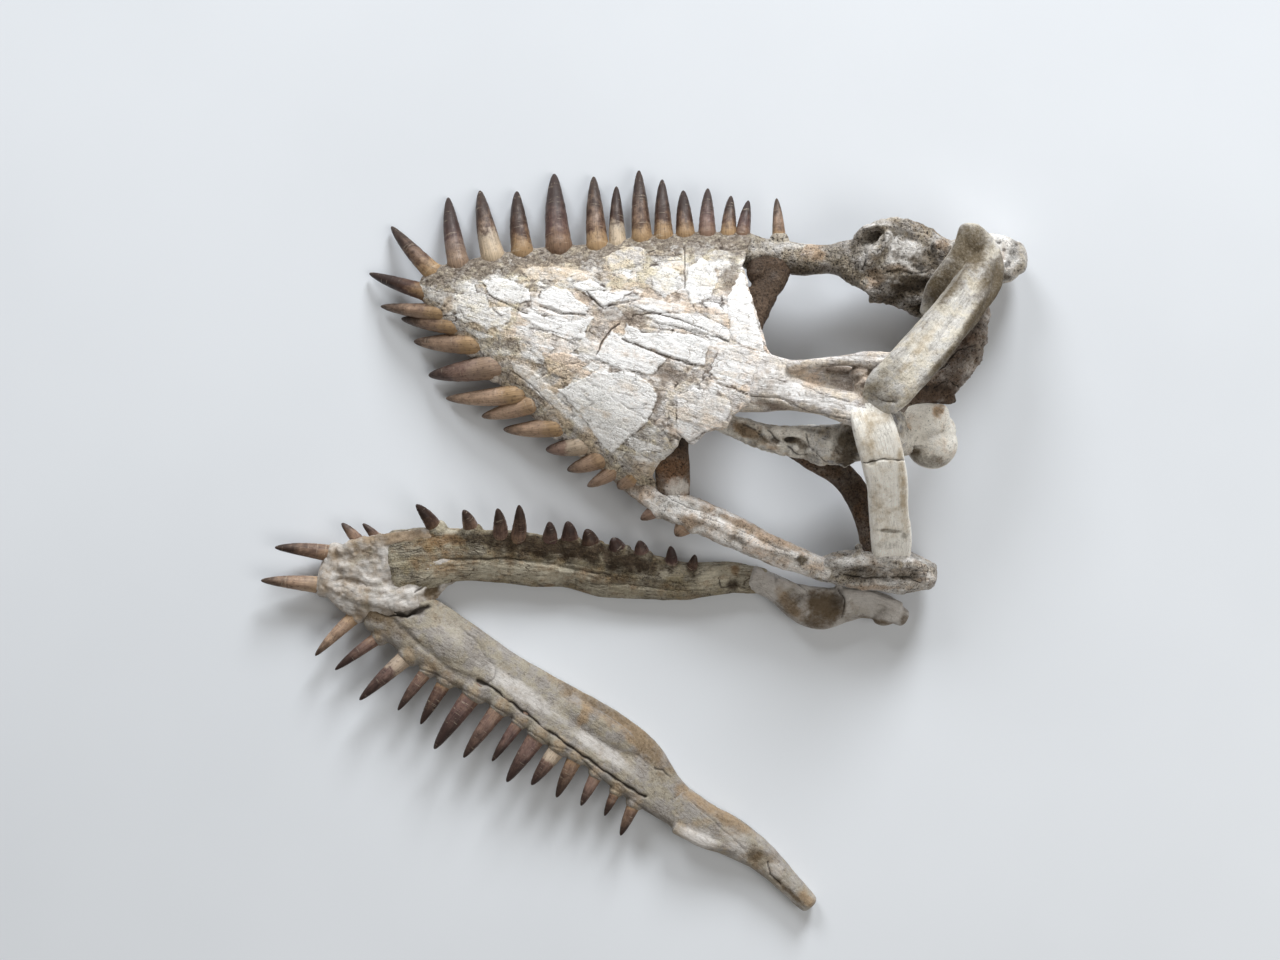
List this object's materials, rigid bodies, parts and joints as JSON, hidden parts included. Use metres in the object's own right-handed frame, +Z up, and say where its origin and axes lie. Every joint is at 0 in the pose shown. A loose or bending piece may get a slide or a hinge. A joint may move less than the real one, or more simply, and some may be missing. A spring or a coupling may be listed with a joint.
{
  "type": "plesiosaur fossil skull",
  "caption": "Long-necked plesiosaur's fossil skull, cranium and lower jaw laid side by side, with splayed interlocking teeth, seen from above.",
  "frame": {"origin": "middle of the bounding box in plan, on the floor that the bones lie on", "axes": "+Z up, +X towards the back of the skull, +Y towards the animal's right side"},
  "size_m": [0.5664, 0.5525, 0.1147],
  "materials": {
    "snout_bone": "rough fossil bone in tan and grey matrix",
    "roof_bone": "cracked cream and lavender fossil bone",
    "arch_bone": "smooth pale fossil bone with brown patches",
    "cheek_bone": "pinkish grey fossil bone, lumpy and brown-stained",
    "matrix_bone": "dark brown fossil bone with granular matrix",
    "braincase_bone": "grey-brown fossil bone",
    "jaw_bone": "pale fibrous fossil bone",
    "dark_jaw_bone": "fossil bone, dark brown along the teeth and pale inside",
    "tooth": "satin fossil enamel, dark brown at the tip and tan at the base"
  },
  "bodies": {
    "root": {"premaxillae": "snout_bone", "maxilla_right": "snout_bone", "maxilla_left": "snout_bone", "skull_roof": "roof_bone", "parietal_crest": "roof_bone", "squamosal_right": "arch_bone", "squamosal_left": "arch_bone", "quadrate_right": "arch_bone", "quadrate_left": "arch_bone", "temporal_right": "cheek_bone", "cheek_right": "cheek_bone", "cheek_left": "cheek_bone", "postorbital_right": "matrix_bone", "postorbital_left": "matrix_bone", "braincase": "braincase_bone", "occipital_condyle": "braincase_bone", "pterygoid_left": "braincase_bone", "pterygoid_right": "matrix_bone", "symphysis": "jaw_bone", "dentary_right": "dark_jaw_bone", "dentary_left": "jaw_bone", "articular_right": "jaw_bone", "articular_left": "jaw_bone"}
  },
  "joints": []
}
